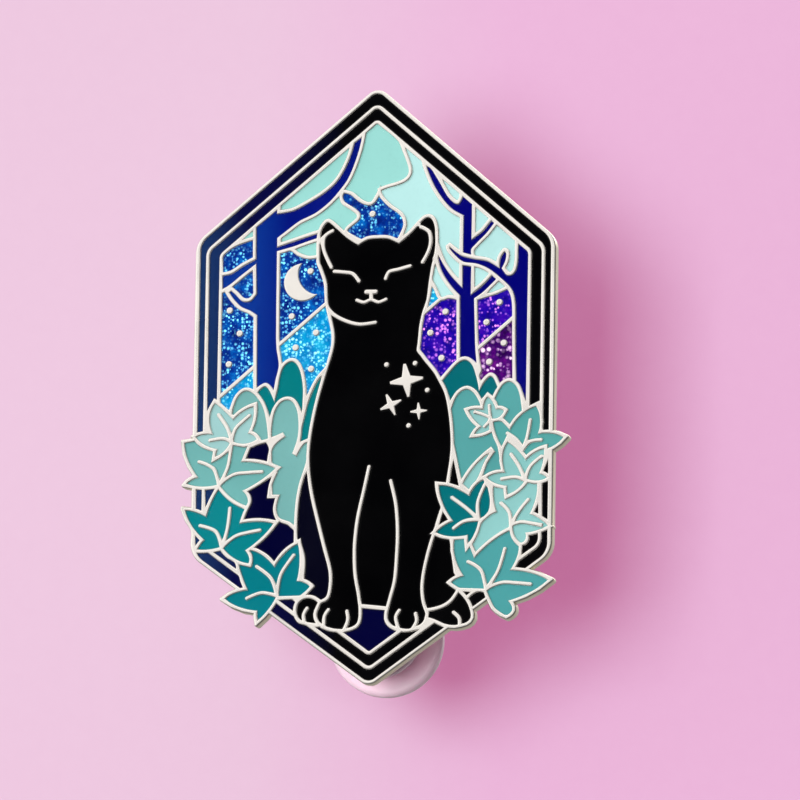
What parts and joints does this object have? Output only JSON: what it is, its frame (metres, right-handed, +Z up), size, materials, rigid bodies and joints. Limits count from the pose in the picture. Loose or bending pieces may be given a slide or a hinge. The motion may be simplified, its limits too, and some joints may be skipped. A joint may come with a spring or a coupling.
{
  "type": "enamel pin",
  "caption": "Tall six-sided enamel pin: a seated black cat among trees and ivy under a starry sky, with two back posts and rubber clutches.",
  "frame": {"origin": "centre of the plate's flat back face, midway between the top and bottom points and on the centre line", "axes": "+Z up the picture, +X to the right as the picture is looked at, the picture faces -Y and the posts point along +Y"},
  "size_m": [0.0355, 0.0099, 0.0541],
  "materials": {
    "nickel": "polished nickel plate over struck iron, raised lines buffed bright",
    "post_steel": "plain drawn steel nail, pointed",
    "solder": "dull silver solder",
    "black_enamel": "baked enamel, glossy",
    "navy_enamel": "baked enamel, glossy",
    "deep_navy_enamel": "baked enamel, glossy",
    "mint_enamel": "baked enamel, glossy",
    "pale_mint_enamel": "baked enamel, glossy",
    "teal_enamel": "baked enamel, glossy",
    "dark_teal_enamel": "baked enamel, glossy",
    "mid_teal_enamel": "baked enamel, glossy",
    "grey_teal_enamel": "baked enamel, glossy",
    "light_teal_enamel": "baked enamel, glossy",
    "blue_glitter": "clear enamel full of fine blue glitter",
    "cyan_glitter": "clear enamel full of fine cyan glitter",
    "violet_glitter": "clear enamel full of fine violet glitter",
    "purple_glitter": "clear enamel full of coarse purple glitter",
    "clutch_rubber": "soft milky translucent rubber, satin"
  },
  "bodies": {
    "pin": {"metal_plate": "nickel", "outer_border_enamel": "black_enamel", "inner_border_enamel": "black_enamel", "blue_sky_glitter": "blue_glitter", "cyan_sky_glitter": "cyan_glitter", "violet_sky_glitter": "violet_glitter", "purple_sky_glitter": "purple_glitter", "undergrowth_enamel": "deep_navy_enamel", "ground_enamel": "deep_navy_enamel", "left_canopy_enamel": "mint_enamel", "right_canopy_enamel": "pale_mint_enamel", "left_tree_enamel": "navy_enamel", "right_tree_enamel": "navy_enamel", "far_right_tree_enamel": "navy_enamel", "left_back_bush_enamel": "teal_enamel", "right_back_bush_enamel": "dark_teal_enamel", "left_front_bush_enamel": "grey_teal_enamel", "right_front_bush_enamel": "mid_teal_enamel", "left_haunch_enamel": "black_enamel", "right_haunch_enamel": "black_enamel", "cat_enamel": "black_enamel", "left_hind_paw_enamel": "black_enamel", "right_hind_paw_enamel": "black_enamel", "left_ivy_bottom_enamel": "teal_enamel", "left_ivy_third_enamel": "teal_enamel", "left_ivy_second_enamel": "grey_teal_enamel", "left_ivy_top_enamel": "light_teal_enamel", "right_ivy_bottom_enamel": "mid_teal_enamel", "right_ivy_back_enamel": "mid_teal_enamel", "right_ivy_blade_enamel": "light_teal_enamel", "right_ivy_dark_enamel": "dark_teal_enamel", "right_ivy_third_enamel": "light_teal_enamel", "right_ivy_second_enamel": "light_teal_enamel", "right_ivy_small_enamel": "light_teal_enamel", "upper_post": "post_steel", "lower_post": "post_steel", "upper_post_solder": "solder", "lower_post_solder": "solder"},
    "upper_clutch": {"upper_clutch": "clutch_rubber"},
    "lower_clutch": {"lower_clutch": "clutch_rubber"}
  },
  "joints": [
    {"name": "upper_clutch_slide", "type": "slide", "parent": "pin", "child": "upper_clutch", "axis": [0, 1, 0], "range_m": [-0.0014, 0.014]},
    {"name": "lower_clutch_slide", "type": "slide", "parent": "pin", "child": "lower_clutch", "axis": [0, 1, 0], "range_m": [-0.0014, 0.014]}
  ]
}
